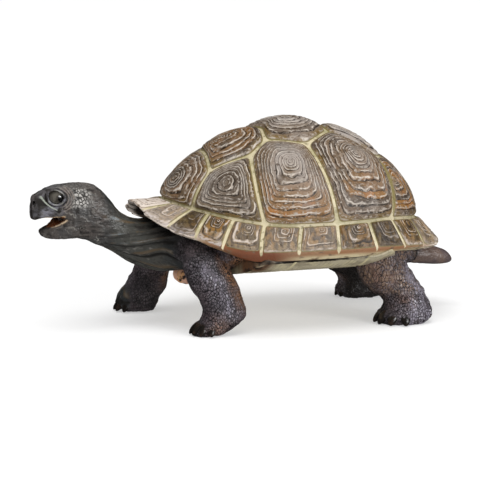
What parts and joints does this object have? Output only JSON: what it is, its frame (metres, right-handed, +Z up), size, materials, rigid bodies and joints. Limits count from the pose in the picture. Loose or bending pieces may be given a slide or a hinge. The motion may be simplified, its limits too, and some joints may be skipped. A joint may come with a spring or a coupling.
{
  "type": "moulded vinyl tortoise figurine",
  "caption": "Hand-painted moulded vinyl figurine of a walking tortoise with a domed, ridged shell, raised neck and open mouth.",
  "frame": {"origin": "on the floor under the middle of the figurine's box", "axes": "+Z up, -Y towards the head, +X towards the tortoise's left side"},
  "size_m": [0.084, 0.1644, 0.0744],
  "materials": {
    "shell": "taupe and orange-brown paint, dry-brushed ridges, cream seams, satin",
    "belly": "cream paint with a dark parting line, satin",
    "skin": "charcoal and brown paint, dry-brushed scales, satin",
    "mouth": "orange-brown paint, satin",
    "eye": "dark painted eye under clear gloss",
    "claw": "black paint, semi-gloss"
  },
  "bodies": {
    "root": {"carapace": "shell", "plastron": "belly", "trunk": "skin", "neck": "skin", "head": "skin", "lower_jaw": "skin", "tail": "skin", "leg_front_left": "skin", "leg_front_right": "skin", "leg_hind_left": "skin", "leg_hind_right": "skin", "tongue": "mouth", "eye_left": "eye", "eye_right": "eye", "claw_front_left_1": "claw", "claw_front_left_2": "claw", "claw_front_left_3": "claw", "claw_front_left_4": "claw", "claw_front_left_5": "claw", "claw_front_right_1": "claw", "claw_front_right_2": "claw", "claw_front_right_3": "claw", "claw_front_right_4": "claw", "claw_front_right_5": "claw", "claw_hind_left_1": "claw", "claw_hind_left_2": "claw", "claw_hind_left_3": "claw", "claw_hind_left_4": "claw", "claw_hind_right_1": "claw", "claw_hind_right_2": "claw", "claw_hind_right_3": "claw", "claw_hind_right_4": "claw"}
  },
  "joints": []
}
